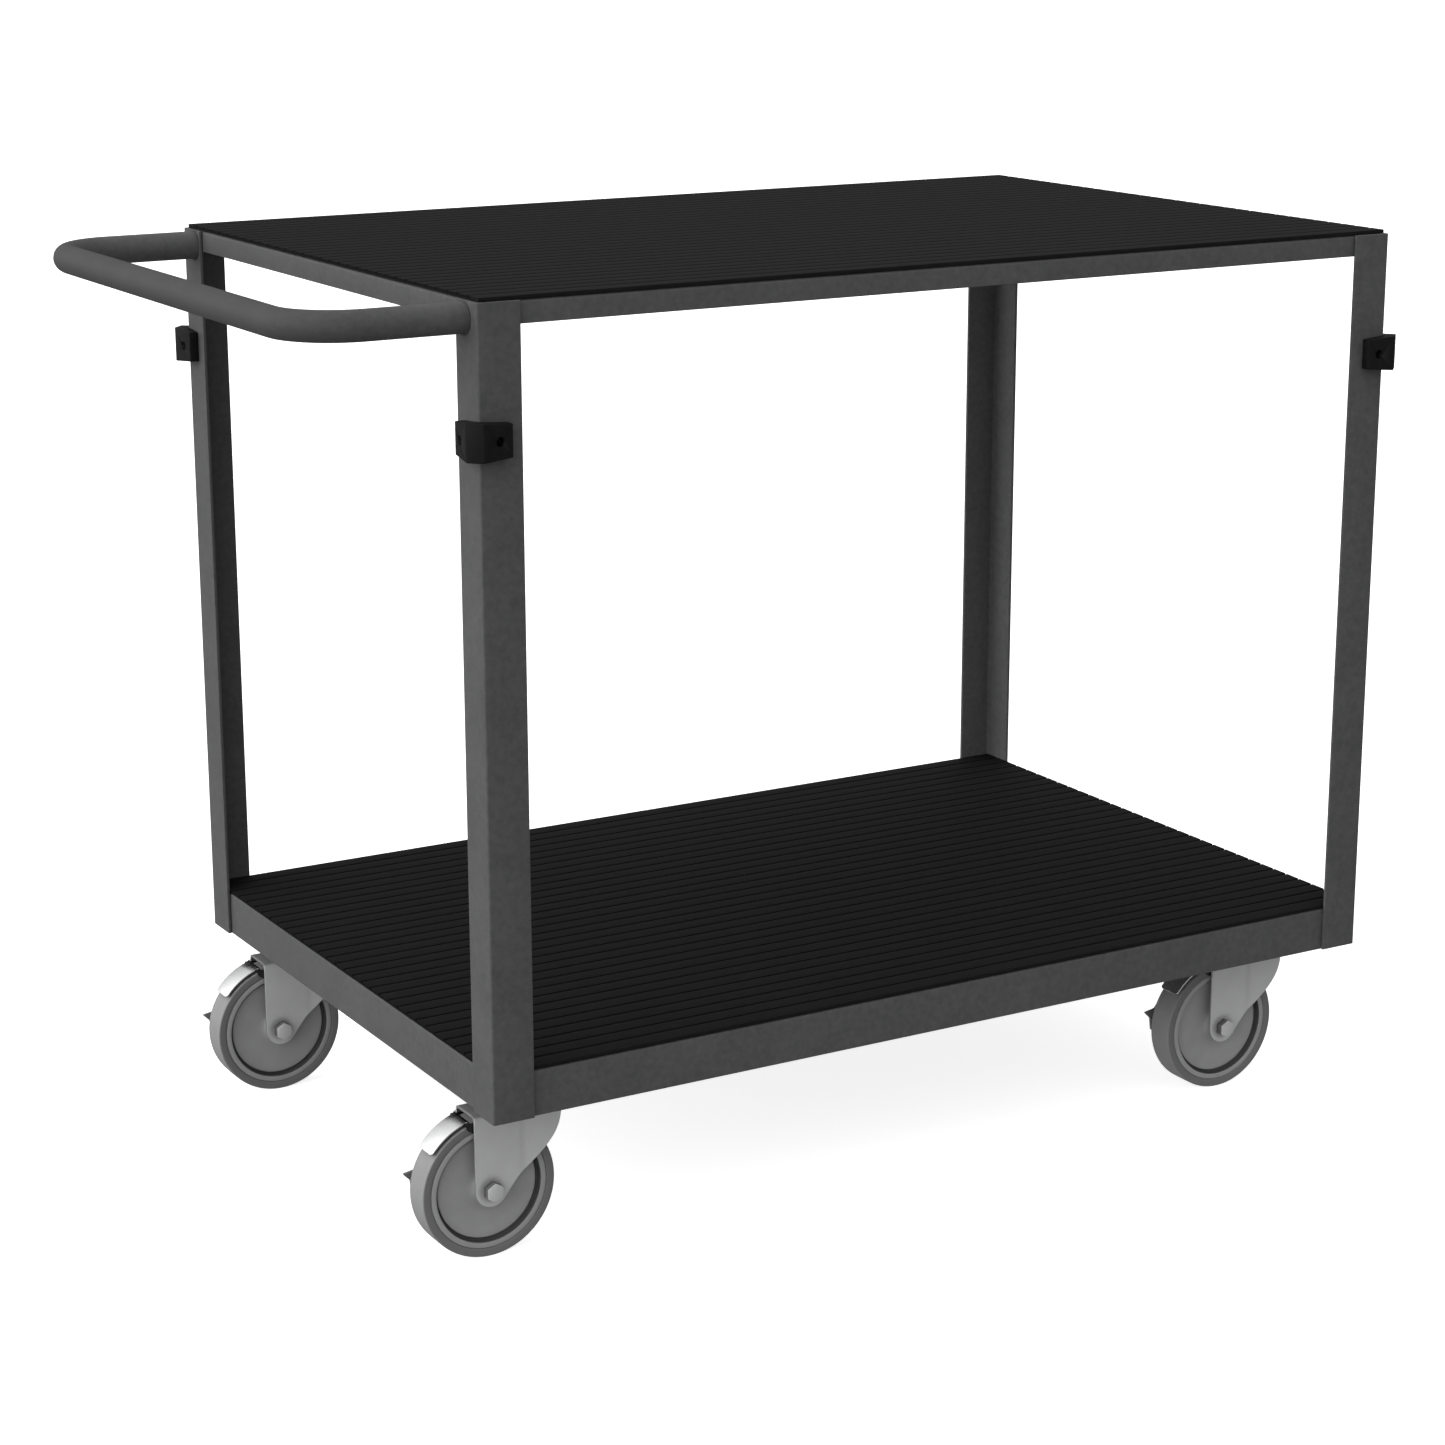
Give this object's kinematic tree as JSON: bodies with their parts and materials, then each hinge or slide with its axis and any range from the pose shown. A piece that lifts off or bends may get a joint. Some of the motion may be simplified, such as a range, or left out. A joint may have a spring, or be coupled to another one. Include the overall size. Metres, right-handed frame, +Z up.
{
  "type": "rolling utility cart",
  "caption": "Two-shelf steel utility cart with ribbed rubber mats, angle posts, tubular push handle, corner bumpers and braked swivel casters.",
  "frame": {"origin": "on the floor, under the middle of the overall box", "axes": "+Z up, +X along the cart away from the push handle, +Y across it to the left"},
  "size_m": [1.0832, 0.6412, 0.8299],
  "materials": {
    "powder_coat": "grey powder coat, finely textured, semi-matte",
    "mat": "matte black ribbed mat",
    "bumper": "moulded black, matte",
    "zinc": "bright zinc plate, matte",
    "steel": "bright steel",
    "chrome": "polished plate",
    "hub": "moulded grey nylon",
    "tyre": "grey non-marking rubber, matte"
  },
  "bodies": {
    "frame": {"post_rear_right": "powder_coat", "post_rear_left": "powder_coat", "post_front_right": "powder_coat", "post_front_left": "powder_coat", "bumper_rear_right": "bumper", "bumper_rear_left": "bumper", "bumper_front_right": "bumper", "bumper_front_left": "bumper", "top_shelf": "powder_coat", "lower_shelf": "powder_coat", "top_mat": "mat", "lower_mat": "mat", "push_handle": "powder_coat", "caster_channel_rear": "powder_coat", "caster_channel_front": "powder_coat", "caster_plate_rear_right": "zinc", "kingpin_rear_right": "zinc", "caster_plate_rear_left": "zinc", "kingpin_rear_left": "zinc", "caster_plate_front_right": "zinc", "kingpin_front_right": "zinc", "caster_plate_front_left": "zinc", "kingpin_front_left": "zinc"},
    "swivel_rear_right": {"fork_rear_right": "zinc", "axle_bolt_rear_right": "zinc", "axle_nut_rear_right": "zinc", "axle_sleeve_rear_right": "steel", "swivel_balls_rear_right": "steel"},
    "wheel_rear_right": {"wheel_hub_rear_right": "hub", "tyre_rear_right": "tyre"},
    "brake_rear_right": {"brake_pedal_rear_right": "chrome", "release_lever_rear_right": "zinc"},
    "swivel_rear_left": {"fork_rear_left": "zinc", "axle_bolt_rear_left": "zinc", "axle_nut_rear_left": "zinc", "axle_sleeve_rear_left": "steel", "swivel_balls_rear_left": "steel"},
    "wheel_rear_left": {"wheel_hub_rear_left": "hub", "tyre_rear_left": "tyre"},
    "brake_rear_left": {"brake_pedal_rear_left": "chrome", "release_lever_rear_left": "zinc"},
    "swivel_front_right": {"fork_front_right": "zinc", "axle_bolt_front_right": "zinc", "axle_nut_front_right": "zinc", "axle_sleeve_front_right": "steel", "swivel_balls_front_right": "steel"},
    "wheel_front_right": {"wheel_hub_front_right": "hub", "tyre_front_right": "tyre"},
    "brake_front_right": {"brake_pedal_front_right": "chrome", "release_lever_front_right": "zinc"},
    "swivel_front_left": {"fork_front_left": "zinc", "axle_bolt_front_left": "zinc", "axle_nut_front_left": "zinc", "axle_sleeve_front_left": "steel", "swivel_balls_front_left": "steel"},
    "wheel_front_left": {"wheel_hub_front_left": "hub", "tyre_front_left": "tyre"},
    "brake_front_left": {"brake_pedal_front_left": "chrome", "release_lever_front_left": "zinc"}
  },
  "joints": [
    {"name": "rear_right_swivel", "type": "hinge", "parent": "frame", "child": "swivel_rear_right", "pos_m": [-0.32507, -0.2286, 0.1315], "axis": [0, 0, 1], "continuous": true},
    {"name": "rear_right_wheel", "type": "hinge", "parent": "swivel_rear_right", "child": "wheel_rear_right", "pos_m": [-0.36507, -0.2286, 0.0625], "axis": [0, 1, 0], "continuous": true},
    {"name": "rear_right_brake", "type": "hinge", "parent": "swivel_rear_right", "child": "brake_rear_right", "pos_m": [-0.37407, -0.2286, 0.1195], "axis": [0, 1, 0], "range_deg": [0, 18]},
    {"name": "rear_left_swivel", "type": "hinge", "parent": "frame", "child": "swivel_rear_left", "pos_m": [-0.32507, 0.2286, 0.1315], "axis": [0, 0, 1], "continuous": true},
    {"name": "rear_left_wheel", "type": "hinge", "parent": "swivel_rear_left", "child": "wheel_rear_left", "pos_m": [-0.36507, 0.2286, 0.0625], "axis": [0, 1, 0], "continuous": true},
    {"name": "rear_left_brake", "type": "hinge", "parent": "swivel_rear_left", "child": "brake_rear_left", "pos_m": [-0.37407, 0.2286, 0.1195], "axis": [0, 1, 0], "range_deg": [0, 18]},
    {"name": "front_right_swivel", "type": "hinge", "parent": "frame", "child": "swivel_front_right", "pos_m": [0.46233, -0.2286, 0.1315], "axis": [0, 0, 1], "continuous": true},
    {"name": "front_right_wheel", "type": "hinge", "parent": "swivel_front_right", "child": "wheel_front_right", "pos_m": [0.42233, -0.2286, 0.0625], "axis": [0, 1, 0], "continuous": true},
    {"name": "front_right_brake", "type": "hinge", "parent": "swivel_front_right", "child": "brake_front_right", "pos_m": [0.41333, -0.2286, 0.1195], "axis": [0, 1, 0], "range_deg": [0, 18]},
    {"name": "front_left_swivel", "type": "hinge", "parent": "frame", "child": "swivel_front_left", "pos_m": [0.46233, 0.2286, 0.1315], "axis": [0, 0, 1], "continuous": true},
    {"name": "front_left_wheel", "type": "hinge", "parent": "swivel_front_left", "child": "wheel_front_left", "pos_m": [0.42233, 0.2286, 0.0625], "axis": [0, 1, 0], "continuous": true},
    {"name": "front_left_brake", "type": "hinge", "parent": "swivel_front_left", "child": "brake_front_left", "pos_m": [0.41333, 0.2286, 0.1195], "axis": [0, 1, 0], "range_deg": [0, 18]}
  ]
}
